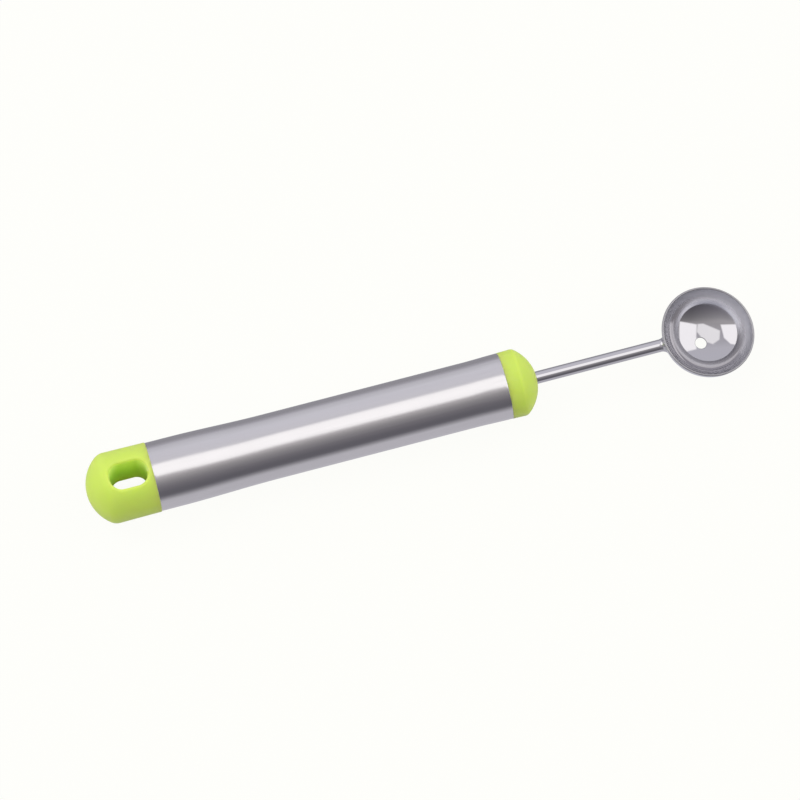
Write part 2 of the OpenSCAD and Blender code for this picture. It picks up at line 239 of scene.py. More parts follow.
def grid_quads(rows, columns, wrap_rows=False):
    """Quads between neighbouring points of a grid, closed round its columns and, with wrap_rows, its rows."""
    row, column = np.meshgrid(np.arange(rows if wrap_rows else rows - 1), np.arange(columns), indexing="ij")
    below, beside = (row + 1) % rows, (column + 1) % columns
    corners = ((row, column), (row, beside), (below, beside), (below, column))
    return np.stack([r * columns + c for r, c in corners], -1).reshape(-1, 4)


def arc(centre, radius, start, stop, steps):
    """Points of a circle about a centre between two angles in radians, ends included."""
    a = np.linspace(start, stop, steps)
    return np.stack([centre[0] + radius * np.cos(a), centre[1] + radius * np.sin(a)], -1)


def joined(*stretches):
    """Joins stretches of an outline, each with its edge mask, to one outline and its mask by row."""
    outline = np.concatenate([rows for rows, _ in stretches])
    return outline, np.concatenate([np.full(len(rows), float(rounded)) for rows, rounded in stretches])


def make_piece(name, points, quads, node, edge=None, zone=None):
    """Makes a closed mesh of points and quads, merges its seams and poles and turns its faces outwards.

    edge and zone are masks per point, kept as attributes: rounded edges, and a stretch with a look of its
    own, which is the bowl's duller upper wall, or the inside of the slot, which is rougher and painted
    lighter for the light that glows through the plastic.
    """
    mesh = bpy.data.meshes.new(name)
    flat = points.reshape(-1, 3).astype(np.float32)
    mesh.from_pydata(flat.tolist(), [], quads.tolist())
    for label, mask in (("edge", edge), ("zone", zone)):
        values = np.zeros(len(flat)) if mask is None else mask
        mesh.attributes.new(label, "FLOAT", "POINT").data.foreach_set("value", values.astype(np.float32))
    shape = bmesh.new()
    shape.from_mesh(mesh)
    bmesh.ops.remove_doubles(shape, verts=shape.verts, dist=MERGE)
    bmesh.ops.recalc_face_normals(shape, faces=shape.faces)
    shape.to_mesh(mesh)
    shape.free()
    mesh.polygons.foreach_set("use_smooth", np.ones(len(mesh.polygons), bool))
    mesh.set_sharp_from_angle(angle=SHARP)
    piece = bpy.data.objects.new(name, mesh)
    bpy.context.scene.collection.objects.link(piece)
    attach(piece, "root")
    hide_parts(node)
    return piece


def on_axis(points):
    """Lifts points from the handle's axis to its height above the table."""
    return points + np.array([0.0, 0.0, AXIS_Z])


def swage(depth, land, flare):
    """Share of the way from a tube's end to its waist: nothing on the land, then half a cosine wave."""
    t = np.clip((depth - land) / flare, 0, 1)
    return (1 - np.cos(np.pi * t)) / 2


def tube_radius(x, s):
    """Outer radius of the tube at x: the waist, grown by a half wave towards each end."""
    rear_radius = (TUBE_HIGH.y - TUBE_LOW.y) / 2
    rear = (rear_radius - s.waist_radius) * (1 - swage(x - TUBE_LOW.x, s.rear_land, s.rear_flare))
    front = (s.front_radius - s.waist_radius) * (1 - swage(TUBE_HIGH.x - x, 0.0, s.front_flare))
    return s.waist_radius + rear + front


def tube_outline(s):
    """Outline of the tube's wall, outside from rear to front and back along the bore, with rounded ends."""
    e, steps = s.tube_round, TUBE_EDGE_STEPS
    x = np.linspace(TUBE_LOW.x + e, TUBE_HIGH.x - e, TUBE_STEPS)
    outer = np.stack([x, tube_radius(x, s)], -1)
    inner = outer[::-1] - [0.0, s.tube_wall]
    front = arc((TUBE_HIGH.x - e, outer[-1, 1] - e), e, np.pi / 2, 0, steps)
    front_in = arc((TUBE_HIGH.x - e, inner[0, 1] + e), e, 0, -np.pi / 2, steps)
    rear_in = arc((TUBE_LOW.x + e, inner[-1, 1] + e), e, -np.pi / 2, -np.pi, steps)
    rear = arc((TUBE_LOW.x + e, outer[0, 1] - e), e, np.pi, np.pi / 2, steps)
    return np.concatenate([outer, front[1:], front_in, inner[1:-1], rear_in, rear[:-1]])


def corner_depth(band, corner, dome):
    """Depth of the corner arc's centre behind the dome's apex, where the arc meets dome and side smoothly."""
    return dome - math.sqrt((dome - corner) ** 2 - (band - corner) ** 2)


def cap_radius(depth, band, seam, corner, dome, size):
    """Outer radius of a cap at a depth behind its apex: dome, then corner arc, then a straight taper."""
    middle = corner_depth(band, corner, dome)
    blend = dome - dome * math.sin(math.atan2(dome - middle, band - corner))
    on_dome = np.sqrt(np.maximum(dome**2 - (dome - depth) ** 2, 0))
    on_corner = band - corner + np.sqrt(np.maximum(corner**2 - (middle - depth) ** 2, 0))
    on_side = band + (seam - band) * (depth - middle) / (size - middle)
    return np.where(depth < blend, on_dome, np.where(depth < middle, on_corner, on_side))


def cap_rows(band, seam, corner, dome, size, s, start):
    """Outline of a cap as (depth, radius) rows: dome, corner and side, and then its rounded edge at the seam.

    start is the angle from the axis at which the dome begins.
    """
    middle = corner_depth(band, corner, dome)
    blend = math.atan2(dome - middle, band - corner)
    dome_arc = arc((dome, 0.0), dome, np.pi - start, np.pi / 2 + blend, DOME_STEPS)
    corner_arc = arc((middle, band - corner), corner, np.pi / 2 + blend, np.pi / 2, CORNER_STEPS)
    side_end = size - s.seam_round
    x = np.linspace(middle, side_end, SIDE_STEPS)
    side = np.stack([x, band + (seam - band) * (x - middle) / (size - middle)], -1)
    edge = arc((side_end, side[-1, 1] - s.seam_round), s.seam_round, np.pi / 2, 0, SEAM_STEPS)
    return np.concatenate([dome_arc, corner_arc[1:], side[1:]]), edge[1:]


def spigot_rows(size, tip_x, s):
    """Outline of a cap's spigot from the shoulder to its tip, which stands in the tube at tip_x."""
    radius = float(tube_radius(tip_x, s)) - s.tube_wall - s.spigot_clearance
    tip = size + s.spigot
    return np.array([[size, radius], [tip - s.spigot_lead, radius], [tip, radius - s.spigot_lead]])


def slot_mouth(direction, half, corner):
    """Where a ray from the slot's centre leaves its outline, a rectangle with round corners, and the normal.

    half holds the half length and half width. A ray d leaves a straight side where it reaches that side. Any
    other meets the circle about the nearest corner's centre c, where |t d - c| = r gives
    t = d.c + sqrt((d.c)^2 - c^2 + r^2).
    """
    facing, slant = np.sign(direction), np.maximum(np.abs(direction), 1e-12)
    centre = half - corner
    reach = half / slant
    on_side = slant[:, 0] * reach[:, 1] <= centre[0]
    on_end = slant[:, 1] * reach[:, 0] <= centre[1]
    along = slant @ centre
    on_corner = along + np.sqrt(np.maximum(along**2 - centre @ centre + corner**2, 0))
    t = np.where(on_side, reach[:, 1], np.where(on_end, reach[:, 0], on_corner))
    point = direction * t[:, None]
    normal = np.where(on_end[:, None], facing * [1, 0], (point - facing * centre) / corner)
    return point, np.where(on_side[:, None], facing * [0, 1], normal)


def patch_border(first, last):
    """Rows and turns of the points round the slot's patch, which spans the rows from first to last."""
    rows, columns = np.arange(first, last + 1), np.arange(-PATCH_REACH, PATCH_REACH + 1)
    sides = (
        (np.full(len(columns) - 1, first), columns[:-1]),
        (rows[:-1], np.full(len(rows) - 1, PATCH_REACH)),
        (np.full(len(columns) - 1, last), columns[:0:-1]),
        (rows[:0:-1], np.full(len(rows) - 1, -PATCH_REACH)),
    )
    row, column = (np.concatenate(part) for part in zip(*sides))
    return row, column * (2 * np.pi / CAP_TURN)


def slot_skin(border, border_turn, cap, s):
    """Grid of the slot's skin through the end cap, with its edge and zone masks by row.

    border holds the depth and radius of the points round the patch. From below, the rows run from the border
    to the mouth, round its quarter-round edge, straight up the slot's wall and out again above. The zone mask
    is 1 on the wall and fades out over the deeper half of each rounded edge.
    """
    slot_x = cap[-1] - s.slot_margin - s.slot_length / 2
    direction = np.stack([border[:, 0] - slot_x, border[:, 1] * np.sin(border_turn)], -1)
    direction /= np.linalg.norm(direction, axis=1, keepdims=True)
    mouth, normal = slot_mouth(direction, np.array([s.slot_length, s.slot_width]) / 2, s.slot_corner)

    bend = np.linspace(0, np.pi / 2, MOUTH_STEPS)
    flat = mouth + normal * s.mouth_round * (1 - np.cos(bend[:, None, None]))
    lip_x, lip_y = flat[..., 0] + slot_x, flat[..., 1]
    outside_z = np.sqrt(cap_radius(lip_x, *cap) ** 2 - lip_y**2)
    lip = np.stack([lip_x, lip_y, outside_z - s.mouth_round * (1 - np.sin(bend[:, None]))], -1)

    level = np.linspace(-1, 1, WALL_STEPS)[1:-1, None]
    wall = np.repeat(lip[:1], len(level), axis=0)
    wall[..., 2] *= level

    start_x = lip_x[-1]
    start_turn = np.arcsin(lip_y[-1] / cap_radius(start_x, *cap))
    t = np.linspace(0, 1, OVER_STEPS)[1:, None]
    x = start_x + (border[:, 0] - start_x) * t
    turn = start_turn + (border_turn - start_turn) * t
    radius = cap_radius(x, *cap)
    radius[-1] = border[:, 1]
    over = np.stack([x, radius * np.sin(turn), radius * np.cos(turn)], -1)

    upper = np.concatenate([lip, over])
    lower = (upper * [1, 1, -1])[::-1]
    plain = np.zeros(len(over))
    rounded = np.concatenate([np.ones(len(lip)), plain])
    deep = np.concatenate([np.maximum(1 - 2 * np.sin(bend), 0), plain])
    edge = np.concatenate([rounded[::-1], np.zeros(len(wall)), rounded])
    zone = np.concatenate([deep[::-1], np.ones(len(wall)), deep])
    return np.concatenate([lower, wall, upper]), edge, zone


def end_cap_mesh(s):
    """Points, quads and masks of the end cap.

    The outside is an outline turned about X. Above and below, a patch of its cells is left out, and the
    slot's skin joins the borders of the two patches.
    """
    size = TUBE_LOW.x - END_LOW.x
    cap = ((END_HIGH.y - END_LOW.y) / 2, s.end_seam_radius, s.end_corner, s.dome_radius, size)
    smooth, seam = cap_rows(*cap, s, 0.0)
    smooth[0, 1] = 0.0
    tail = spigot_rows(size, TUBE_LOW.x + s.spigot, s)
    outline, mask = joined((smooth, 0), (seam, 1), (tail, 0), ([[size + s.spigot, 0.0]], 0))
    outside = ring_points(outline, CAP_TURN)

    first, last = DOME_STEPS - PATCH_DOME_ROWS, len(smooth) - 1
    quads = grid_quads(len(outline), CAP_TURN)
    row, column = np.divmod(np.arange(len(quads)), CAP_TURN)
    half_turn = CAP_TURN // 2
    from_top, from_foot = (column + half_turn) % CAP_TURN - half_turn, column - half_turn
    beside = [(turn >= -PATCH_REACH) & (turn < PATCH_REACH) for turn in (from_top, from_foot)]
    quads = quads[~((row >= first) & (row < last) & (beside[0] | beside[1]))]

    border_row, border_turn = patch_border(first, last)
    skin, skin_edge, skin_zone = slot_skin(outline[border_row], border_turn, cap, s)
    rows, columns = skin.shape[:2]
    points = np.concatenate([outside.reshape(-1, 3), skin.reshape(-1, 3)]) + [END_LOW.x, 0, 0]
    quads = np.concatenate([quads, grid_quads(rows, columns) + len(outline) * CAP_TURN])
    edge = np.concatenate([np.repeat(mask, CAP_TURN), np.repeat(skin_edge, columns)])
    zone = np.concatenate([np.zeros(len(outline) * CAP_TURN), np.repeat(skin_zone, columns)])
    return on_axis(points), quads, edge, zone


def front_cap_mesh(s):
    """Points, quads and masks of the front cap, turned about X, with a round-lipped bore for the rod."""
    size = FRONT_HIGH.x - TUBE_HIGH.x
    bore, lip, dome = s.rod_radius + s.rod_gap, s.lip_round, s.dome_radius
    lip_depth = dome - math.sqrt((dome - lip) ** 2 - (bore + lip) ** 2)
    lip_angle = math.atan2(bore + lip, dome - lip_depth)
    smooth, seam = cap_rows(s.front_cap_radius, s.front_seam_radius, s.front_corner, dome, size, s, lip_angle)
    socket = arc((lip_depth, bore + lip), lip, -np.pi / 2, -np.pi - lip_angle, SOCKET_STEPS)
    tail = spigot_rows(size, TUBE_HIGH.x - s.spigot, s)
    outline, mask = joined((socket, 1), (smooth[1:], 0), (seam, 1), (tail, 0), ([[size + s.spigot, bore]], 0))
    outline[:, 0] = FRONT_HIGH.x - outline[:, 0]
    points = on_axis(ring_points(outline, CAP_TURN))
    return points, grid_quads(len(outline), CAP_TURN, wrap_rows=True), np.repeat(mask, CAP_TURN), None


def bowl_size(s):
    """Half width and half height of the ellipse turned into the bowl, and the angle along it at the rim."""
    high = s.bowl_depth + s.bowl_lift
    rim_t = -math.asin(s.bowl_lift / high)
    return s.rim_radius / math.cos(rim_t), high, rim_t


def bowl_point(t, inset, s):
    """Point of the bowl's outline at angle t, set in from the outer face, as radius and height."""
    wide, high, _ = bowl_size(s)
    facing = np.stack([np.cos(t) / wide, np.sin(t) / high], -1)
    facing /= np.linalg.norm(facing, axis=-1, keepdims=True)
    return np.stack([wide * np.cos(t), high * np.sin(t)], -1) - inset * facing


def bowl_centre(s):
    """Centre of the bowl's ellipse, from the bowl's foremost point and its rise over the rod's axis."""
    _, _, rim_t = bowl_size(s)
    middle = bowl_point(np.array(rim_t), s.sheet / 2, s)
    reach = middle @ [math.cos(s.pitch), math.sin(s.pitch)] + s.sheet / 2
    return np.array([BOWL_HIGH.x - reach, 0.0, AXIS_Z + s.rise + s.bowl_lift * math.cos(s.pitch)])


def bowl_mesh(s):
    """Points, quads and masks of the bowl: its sheet's outline turned about the bowl's own tilted axis.

    The outline goes round the vent's outer edge, up the outer face (a cos t, b sin t), round the rim, down
    the inner face, which is the outer one set in by the sheet, and round the vent's inner edge.
    """
    wide, _, rim_t = bowl_size(s)
    f = s.vent_round
    t = np.linspace(-math.pi / 2 + (s.vent_radius + f) / wide, rim_t, BOWL_STEPS)
    outer, inner = bowl_point(t, 0.0, s), bowl_point(t[::-1], s.sheet, s)
    middle = bowl_point(np.array(rim_t), s.sheet / 2, s)
    lean = math.atan2(outer[-1, 1] - middle[1], outer[-1, 0] - middle[0])
    rim = arc(middle, s.sheet / 2, lean, lean + np.pi, RIM_STEPS)
    vent_out = arc((outer[0, 0], outer[0, 1] + f), f, -np.pi, -np.pi / 2, VENT_STEPS)
    vent_in = arc((inner[-1, 0], inner[-1, 1] - f), f, np.pi / 2, np.pi, VENT_STEPS)
    outline, mask = joined((vent_out[:-1], 1), (outer, 0), (rim[1:-1], 1), (inner, 0), (vent_in[1:], 1))

    turn = np.arange(BOWL_TURN) * (2 * np.pi / BOWL_TURN)
    r, h = outline[:, 0, None], outline[:, 1, None] + np.zeros(BOWL_TURN)
    x, y = r * np.cos(turn), r * np.sin(turn)
    c, k = math.cos(s.pitch), math.sin(s.pitch)
    points = np.stack([x * c + h * k, y, h * c - x * k], -1) + bowl_centre(s)
    satin = np.clip((outline[:, 0] / s.rim_radius - SATIN_FROM) / (SATIN_TO - SATIN_FROM), 0, 1)
    quads = grid_quads(len(outline), BOWL_TURN, wrap_rows=True)
    return points, quads, np.repeat(mask, BOWL_TURN), np.repeat(satin, BOWL_TURN)


def wall_x(y, z, s):
    """Place along X where the bowl's outer face is met from behind, at a distance across and above the axis.

    With (u, y, w) the point in the bowl's tilted axes, it solves (u^2 + y^2) / a^2 + w^2 / b^2 = 1 for x.
    """
    wide, high, _ = bowl_size(s)
    centre = bowl_centre(s)
    c, k = math.cos(s.pitch), math.sin(s.pitch)
    up = z + AXIS_Z - centre[2]
    square = c * c / wide**2 + k * k / high**2
    half = up * k * c * (1 / high**2 - 1 / wide**2)
    rest = up**2 * (k * k / wide**2 + c * c / high**2) + y**2 / wide**2 - 1
    return centre[0] + (-half - np.sqrt(half**2 - square * rest)) / square


def uneven(turn, top, side, wave, count, phase):
    """Share of the weld's reach at each turn: 1, less at the top and at +Y, with waves round the rod."""
    return 1 - top * np.sin(turn) - side * np.cos(turn) + wave * np.sin(count * turn + phase)


def weld_mesh(s):
    """Points and quads of the weld bead, a closed ring round the rod's end.

    Each column is a quadratic curve from the rod to the bowl, pulled towards the corner between them and
    swollen by a few sine waves, and closed again just under the steel.
    """
    turn = (np.arange(WELD_TURN) * (2 * np.pi / WELD_TURN))[None]
    out_y, out_z = np.cos(turn), np.sin(turn)
    r, reach, under = s.rod_radius, s.weld_reach, s.weld_sink
    corner_x = wall_x(r * out_y, r * out_z, s)
    far = r + reach * uneven(turn, *BOWL_REACH)
    rod_x, bowl_x = corner_x - reach * uneven(turn, *ROD_REACH), wall_x(far * out_y, far * out_z, s)
    t = np.linspace(0, 1, WELD_STEPS)[:, None]
    waves = sum(high * np.sin(count * turn + lean * t + phase) for count, lean, high, phase in RIPPLES)
    x = (1 - t) ** 2 * rod_x + 2 * t * (1 - t) * corner_x + t**2 * bowl_x
    radial = (1 - t) ** 2 * r + 2 * t * (1 - t) * (r + WELD_SWELL * reach) + t**2 * far
    radial = radial + s.weld_ripple * np.sin(np.pi * t) * waves
    x = np.concatenate([x, x[-1:] + under, corner_x + under, x[:1]])
    hidden = [radial[-1:] - under, np.full_like(corner_x, r - under), radial[:1] - under]
    radial = np.concatenate([radial, *hidden])
    points = on_axis(np.stack([x, radial * out_y, radial * out_z], -1))
    return points, grid_quads(len(x), WELD_TURN, wrap_rows=True)


def rod_mesh(s):
    """Points and quads of the rod: a circle carried from inside the front cap to the bowl, coped to it."""
    turn = np.arange(ROD_TURN) * (2 * np.pi / ROD_TURN)
    y, z = s.rod_radius * np.sin(turn), s.rod_radius * np.cos(turn)
    start = FRONT_HIGH.x - s.rod_embed
    end = wall_x(y, z, s) + s.rod_sink
    x = start + (end - start) * np.linspace(0, 1, ROD_STEPS)[:, None]
    side = np.stack([x, np.broadcast_to(y, x.shape), np.broadcast_to(z, x.shape)], -1)
    poles = np.zeros((2, 1, ROD_TURN, 3))
    poles[0, ..., 0] = start
    poles[1, ..., 0] = wall_x(0.0, 0.0, s) + s.rod_sink
    points = np.concatenate([poles[0], side, poles[1]])
    return on_axis(points), grid_quads(len(points), ROD_TURN)


class NodeSheet:
    """A node tree with short calls for adding nodes and links."""

    def __init__(self, tree):
        self.tree = tree

    def add(self, kind, values=None, **settings):
        """Adds a node, applies its settings and fills its inputs."""
        node = self.tree.nodes.new(kind)
        for key, value in settings.items():
            setattr(node, key, value)
        for key, value in (values or {}).items():
            self.put(node.inputs[key], value)
        return node

    def put(self, socket, value):
        """Links an output, or writes a plain value, to a socket."""
        if isinstance(value, bpy.types.NodeSocket):
            self.tree.links.new(value, socket)
        else:
            socket.default_value = value

    def math(self, operation, a, b=0.0, c=0.0, clamp=False):
        """Result of an operation on up to three numbers."""
        node = self.add("ShaderNodeMath", {0: a, 1: b, 2: c}, operation=operation, use_clamp=clamp)
        return node.outputs[0]

    def ranged(self, value, low, high, to_low=0.0, to_high=1.0):
        """Carries a value from one range to another and keeps it there."""
        values = {"Value": value, "From Min": low, "From Max": high, "To Min": to_low, "To Max": to_high}
        return self.add("ShaderNodeMapRange", values).outputs["Result"]

    def mix(self, factor, a, b, blend="MIX"):
        """Mixes two colours, of which a is seen where the factor is 0."""
        node = self.add("ShaderNodeMix", data_type="RGBA", blend_type=blend)
        for place, value in ((0, factor), (6, a), (7, b)):
            self.put(node.inputs[place], value)
        return node.outputs[2]

    def lean(self, tone, mask, share, color):
        """Moves a tone by a share of the way to a plain colour, where the mask is 1."""
        return self.mix(self.math("MULTIPLY", mask, share), tone, (*color, 1))

    def grow(self, value, mask, amount):
        """Adds an amount to a value, where the mask is 1."""
        return self.math("ADD", value, self.math("MULTIPLY", mask, amount))

    def noise(self, vector, scale, detail, distortion=0.0):
        """Value of a noise texture."""
        values = {"Vector": vector, "Scale": scale, "Detail": detail, "Distortion": distortion}
        return self.add("ShaderNodeTexNoise", values).outputs["Fac"]

    def place(self):
        """Place on the piece, in metres."""
        return self.add("ShaderNodeTexCoord").outputs["Object"]

    def mask(self, label):
        """A number that the mesh keeps for each point."""
        return self.add("ShaderNodeAttribute", attribute_name=label).outputs["Fac"]


def new_group(name, inputs, outputs):
    """A shader node group with named sockets, its sheet, its input node and its output node."""
    group = bpy.data.node_groups.new(name, "ShaderNodeTree")
    for label, kind, default in inputs:
        group.interface.new_socket(label, in_out="INPUT", socket_type=kind).default_value = default
    for label, kind in outputs:
        group.interface.new_socket(label, in_out="OUTPUT", socket_type=kind)
    sheet = NodeSheet(group)
    return sheet, sheet.add("NodeGroupInput"), sheet.add("NodeGroupOutput")


def hairline_group():
    """Fine lines and scratches: noise in two widths, squeezed across the lines and stretched along them."""
    if "hairlines" in bpy.data.node_groups:
        return bpy.data.node_groups["hairlines"]
    sheet, inside, outside = new_group(
        "hairlines",
        [("Along", "NodeSocketVector", (1, 1, 1)), ("Contrast", "NodeSocketFloat", 1.0)],
        [("Lines", "NodeSocketFloat"), ("Scratches", "NodeSocketFloat")],
    )
    factors = {0: sheet.place(), 1: inside.outputs["Along"]}
    squeezed = sheet.add("ShaderNodeVectorMath", factors, operation="MULTIPLY").outputs[0]
    fine = sheet.noise(squeezed, 1.0, 4.0)
    coarse = sheet.noise(squeezed, 0.31, 2.0)
    both = sheet.grow(sheet.math("MULTIPLY", fine, 0.65), coarse, 0.35)
    lines = sheet.math("MULTIPLY", sheet.math("SUBTRACT", both, 0.5), inside.outputs["Contrast"])
    sheet.put(outside.inputs["Lines"], sheet.math("ADD", lines, 0.5, clamp=True))
    sheet.put(outside.inputs["Scratches"], sheet.ranged(coarse, 0.68, 0.74))
    return sheet.tree


def handling_group():
    """Handling marks: broad soft smudges, from noise on the piece."""
    if "handling" in bpy.data.node_groups:
        return bpy.data.node_groups["handling"]
    sheet, inside, outside = new_group(
        "handling", [("Size", "NodeSocketFloat", 60.0)], [("Smudge", "NodeSocketFloat")]
    )
    broad = sheet.noise(sheet.place(), inside.outputs["Size"], 3.0, distortion=0.6)
    sheet.put(outside.inputs["Smudge"], sheet.ranged(broad, 0.35, 0.7))
    return sheet.tree


def hairlines(sheet, along, contrast):
    """Masks of the lines and scratches. along is their noise's scale per metre along each axis."""
    values = {"Along": along, "Contrast": contrast}
    node = sheet.add("ShaderNodeGroup", values, node_tree=hairline_group())
    return node.outputs["Lines"], node.outputs["Scratches"]


def smudges(sheet, scale):
    """Mask of the handling smudges. scale is their noise's scale per metre."""
    return sheet.add("ShaderNodeGroup", {"Size": scale}, node_tree=handling_group()).outputs["Smudge"]


def empty_material(name):
    """A material with an empty sheet, and its output's surface socket."""
    material = bpy.data.materials.new(name)
    material.use_nodes = True
    material.node_tree.nodes.clear()
    sheet = NodeSheet(material.node_tree)
    return material, sheet, sheet.add("ShaderNodeOutputMaterial").inputs["Surface"]


def principled_material(name):
    """A material with a sheet, and its Principled shader linked to its output."""
    material, sheet, surface = empty_material(name)
    shader = sheet.add("ShaderNodeBsdfPrincipled")
    sheet.put(surface, shader.outputs["BSDF"])
    return material, sheet, shader


def dress(sheet, shader, tone, roughness, height, strength, distance):
    """Links a tone, a roughness and the bump of a height to a Principled shader."""
    bump = sheet.add("ShaderNodeBump", {"Strength": strength, "Distance": distance, "Height": height})
    sheet.put(shader.inputs["Base Color"], tone)
    sheet.put(shader.inputs["Roughness"], roughness)
    sheet.put(shader.inputs["Normal"], bump.outputs["Normal"])


def brushed_tube_material(looks):
    """Stainless tube, brushed lengthwise: lines along X in its roughness, tone and bump, and soft smudges."""
    material, sheet, shader = principled_material("brushed tube")
    lines, _ = hairlines(sheet, (14.0, 5200.0, 5200.0), 1.6)
    smudge = smudges(sheet, 45.0)
    base, roughness = Vector(looks.tube_steel), looks.tube_roughness
    dark, bright, worn = base * 0.93, base * 1.05, base * 0.9
    low, high, smudge_rough = roughness * 0.85, roughness * 1.2, 0.03
    tone = sheet.lean(sheet.mix(lines, (*dark, 1), (*bright, 1)), smudge, 0.25, worn)
    rough = sheet.grow(sheet.ranged(lines, 0, 1, low, high), smudge, smudge_rough)
    dress(sheet, shader, tone, rough, lines, 0.12, 0.02 * MM)
    sheet.put(shader.inputs["Metallic"], 1.0)
    return material


def polished_material(name, base, satin_steel, roughness, along, bump, worn=1.08):
    """Polished stainless steel: faint polishing lines and scratches, soft smudges, edges and satin stretches.

    along is the lines' scale per metre along each axis, bump the strength of their relief, and worn the share
    of the base colour that the rounded edges have.
    """
    material, sheet, shader = principled_material(name)
    lines, scratches = hairlines(sheet, along, 1.2)
    smudge = smudges(sheet, 140.0)
    satin = sheet.mask("zone")
    base = Vector(base)
    lined, smudged, edged = base * 0.94, base * 0.95, base * worn
    scratch_rough, satin_rough, satin_metal = 0.06, 0.3, 0.84
    tone = sheet.lean((*base, 1), lines, 0.5, lined)
    tone = sheet.lean(tone, smudge, 0.3, smudged)
    tone = sheet.mix(satin, tone, (*satin_steel, 1))
    tone = sheet.mix(sheet.mask("edge"), tone, (*edged, 1))
    rough = sheet.ranged(smudge, 0, 1, roughness, roughness * 1.35)
    rough = sheet.grow(rough, scratches, scratch_rough)
    rough = sheet.grow(rough, satin, satin_rough)
    dress(sheet, shader, tone, rough, lines, bump, 0.01 * MM)
    sheet.put(shader.inputs["Metallic"], sheet.ranged(satin, 0, 1, 1.0, satin_metal))
    return material


def plastic_material(looks):
    """Lime moulded plastic: fine grain, soft tone drift, edges paler by rub and by a painted highlight, and a
    duller slot, painted lighter for the light that glows through its walls.
    """
    material, sheet, shader = principled_material("lime plastic")
    grain = sheet.noise(sheet.place(), 5200.0, 2.0)
    smudge = smudges(sheet, 70.0)
    edge, inside = sheet.mask("edge"), sheet.mask("zone")
    base, roughness = Vector(looks.plastic), looks.plastic_roughness
    pale, smudged = base.lerp(Vector((1, 1, 0.6)), 0.12), base * 0.955
    grain_rough, edge_smooth, inside_rough = 0.04, 0.06, 0.4
    tone = sheet.lean((*base, 1), smudge, 0.35, smudged)
    tone = sheet.mix(sheet.ranged(grain, 0.35, 0.7, 0, 0.12), tone, (*pale, 1))
    # Rounded edges lean towards the pale tone: partly rubbed wear, partly a painted highlight along the
    # roundings
    tone = sheet.lean(tone, edge, 0.08, pale)
    # Painted light: the slot's wall takes the lighter slot colour for the light that glows through the
    # plastic into it
    tone = sheet.mix(inside, tone, (*looks.slot_painted_glow, 1))
    rough = sheet.ranged(grain, 0.3, 0.7, roughness + grain_rough, roughness - grain_rough)
    rough = sheet.math("SUBTRACT", rough, sheet.math("MULTIPLY", edge, edge_smooth))
    rough = sheet.grow(rough, inside, inside_rough)
    dress(sheet, shader, tone, rough, grain, 0.18, 0.02 * MM)
    sheet.put(shader.inputs["IOR"], 1.49)
    sheet.put(shader.inputs["Specular IOR Level"], 0.3)
    sheet.put(shader.inputs["Subsurface Weight"], 0.9)
    sheet.put(shader.inputs["Subsurface Radius"], (1.0, 1.1, 0.35))
    sheet.put(shader.inputs["Subsurface Scale"], 5.0 * MM)
    return material


def finish(piece, material):
    """Gives a piece its material."""
    piece.data.materials.append(material)


class MELON_BALLER_OT_scoop_bowl(bpy.types.Operator):
    """Makes the bowl with its rounded rim and vent"""

    bl_idname = "melon_baller.scoop_bowl"
    bl_label = "Scoop bowl"

    def execute(self, context):
        sizes, looks = context.scene.baller_sizes, context.scene.baller_looks
        points, quads, edge, satin = bowl_mesh(sizes)
        piece = make_piece("bowl", points, quads, "scoop_bowl", edge, satin)
        lines, steels = (900.0, 2600.0, 900.0), (looks.bowl_steel, looks.satin_steel)
        material = polished_material("polished bowl", *steels, looks.bowl_roughness, lines, 0.012, worn=0.68)
        finish(piece, material)
        return {"FINISHED"}


class MELON_BALLER_OT_bowl_weld(bpy.types.Operator):
    """Makes the weld bead between the rod and the bowl"""

    bl_idname = "melon_baller.bowl_weld"
    bl_label = "Bowl weld"

    def execute(self, context):
        sizes, looks = context.scene.baller_sizes, context.scene.baller_looks
        piece = make_piece("weld_bead", *weld_mesh(sizes), "bowl_weld")
        grain, steels = (2500.0, 2500.0, 2500.0), (looks.rod_steel, looks.satin_steel)
        material = polished_material("dressed weld", *steels, looks.weld_roughness, grain, 0.3)
        finish(piece, material)
        return {"FINISHED"}


class MELON_BALLER_OT_rod(bpy.types.Operator):
    """Makes the rod from the front cap to the bowl"""

    bl_idname = "melon_baller.rod"
    bl_label = "Rod"

    def execute(self, context):
        sizes, looks = context.scene.baller_sizes, context.scene.baller_looks
        piece = make_piece("rod", *rod_mesh(sizes), "shank")
        lines, steels = (60.0, 4200.0, 4200.0), (looks.rod_steel, looks.satin_steel)
        material = polished_material("polished rod", *steels, looks.rod_roughness, lines, 0.08)
        finish(piece, material)
        return {"FINISHED"}


class MELON_BALLER_OT_caps(bpy.types.Operator):
    """Makes the two plastic caps"""

    bl_idname = "melon_baller.caps"
    bl_label = "Caps"

    def execute(self, context):
        sizes, looks = context.scene.baller_sizes, context.scene.baller_looks
        material = plastic_material(looks)
        caps = (("front_nose", "front_cap", front_cap_mesh), ("end_grip", "end_cap", end_cap_mesh))
        for name, node, mesh in caps:
            points, quads, edge, zone = mesh(sizes)
            finish(make_piece(name, points, quads, node, edge, zone), material)
        return {"FINISHED"}


class MELON_BALLER_OT_tube(bpy.types.Operator):
    """Makes the swaged tube"""

    bl_idname = "melon_baller.tube"
    bl_label = "Tube"

    def execute(self, context):
        sizes, looks = context.scene.baller_sizes, context.scene.baller_looks
        outline = tube_outline(sizes)
        points = on_axis(ring_points(outline, TUBE_TURN))
        quads = grid_quads(len(outline), TUBE_TURN, wrap_rows=True)
        finish(make_piece("tube", points, quads, "handle_tube"), brushed_tube_material(looks))
        return {"FINISHED"}


# Colour that the camera sees behind the object
WHITE = (1.0, 1.0, 0.968, 1.0)

